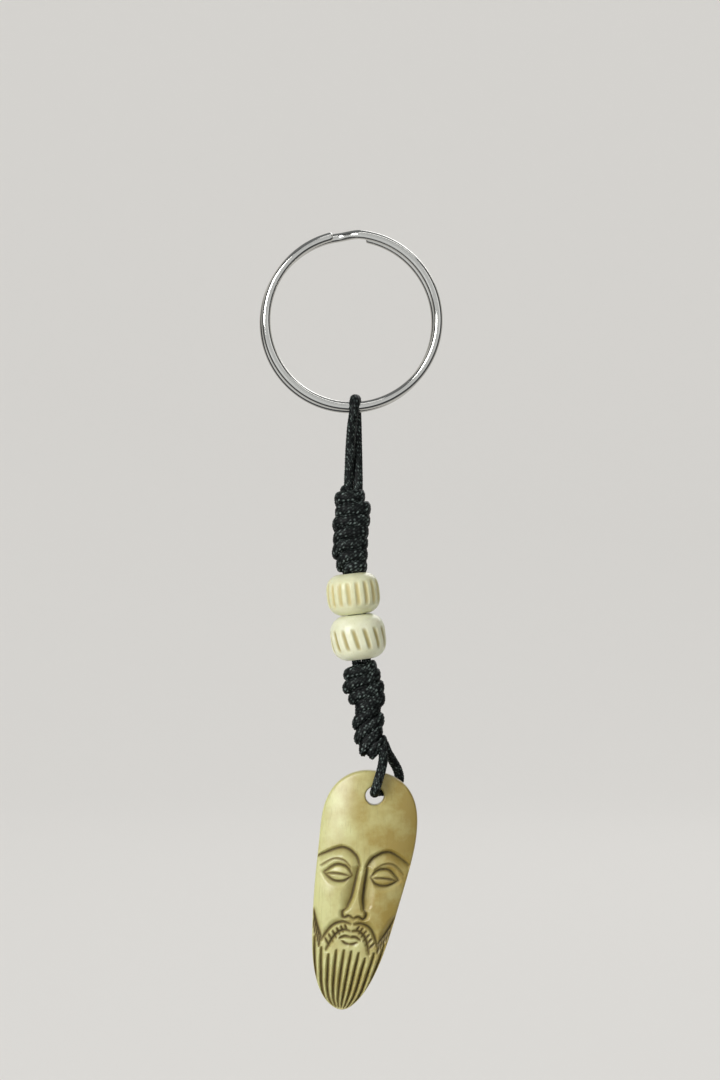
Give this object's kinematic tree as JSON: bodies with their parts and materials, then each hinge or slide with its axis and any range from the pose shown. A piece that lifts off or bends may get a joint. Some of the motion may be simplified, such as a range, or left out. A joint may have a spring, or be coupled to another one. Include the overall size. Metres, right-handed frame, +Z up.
{
  "type": "keychain",
  "caption": "Keychain: a split ring, a knotted braided cord with grooved beads, and a long carved bone plaque hanging at its end.",
  "frame": {"origin": "centre of the split ring, where a hook, peg or finger holds the keychain", "axes": "+Z up along the hanging keychain, the carved face looks along -Y, +X to the right seen from the front"},
  "size_m": [0.0304, 0.0092, 0.1293],
  "materials": {
    "ring_nickel": "polished",
    "cord_nylon": "satin",
    "bead_bone_upper": "satin",
    "bead_bone_lower": "satin",
    "plaque_bone": "satin"
  },
  "bodies": {
    "ring": {"split_ring": "ring_nickel"},
    "ring_loop": {"loop_bight": "cord_nylon"},
    "loop_legs": {"loop_leg_front": "cord_nylon", "loop_leg_back": "cord_nylon"},
    "upper_strand": {"upper_knot": "cord_nylon", "bead_cord_left": "cord_nylon", "bead_cord_right": "cord_nylon"},
    "first_bead": {"upper_bead": "bead_bone_upper"},
    "second_bead": {"lower_bead": "bead_bone_lower"},
    "lower_strand": {"lower_knot": "cord_nylon"},
    "plaque_sling": {"plaque_cord": "cord_nylon"},
    "carving": {"plaque": "plaque_bone"}
  },
  "joints": [
    {"name": "loop_slide", "type": "hinge", "parent": "ring", "child": "ring_loop", "pos_m": [0, 0, 0], "axis": [0, 1, 0], "continuous": true},
    {"name": "loop_swing", "type": "hinge", "parent": "ring_loop", "child": "loop_legs", "pos_m": [0.0005, 0, -0.022], "axis": [1, 0, 0], "range_deg": [-60, 60]},
    {"name": "strand_twist", "type": "hinge", "parent": "loop_legs", "child": "upper_strand", "pos_m": [0.0004, 0, -0.0274], "axis": [0, 0, 1], "range_deg": [-180, 180]},
    {"name": "first_bead_spin", "type": "hinge", "parent": "upper_strand", "child": "first_bead", "pos_m": [0.00036, 0, -0.04512], "axis": [-0.1184, 0, 0.993], "continuous": true},
    {"name": "second_bead_spin", "type": "hinge", "parent": "upper_strand", "child": "second_bead", "pos_m": [0.00121, 0, -0.05227], "axis": [-0.1184, 0, 0.993], "continuous": true},
    {"name": "strand_bend", "type": "hinge", "parent": "upper_strand", "child": "lower_strand", "pos_m": [0.00165, 0, -0.05595], "axis": [0, 1, 0], "range_deg": [-6, 6]},
    {"name": "sling_tip", "type": "hinge", "parent": "lower_strand", "child": "plaque_sling", "pos_m": [0.0058, 0, -0.0731], "axis": [1, 0, 0], "range_deg": [-30, 45]},
    {"name": "plaque_swing", "type": "hinge", "parent": "plaque_sling", "child": "carving", "pos_m": [0.00393, 0, -0.07855], "axis": [0, 1, 0], "range_deg": [-25, 40]}
  ]
}
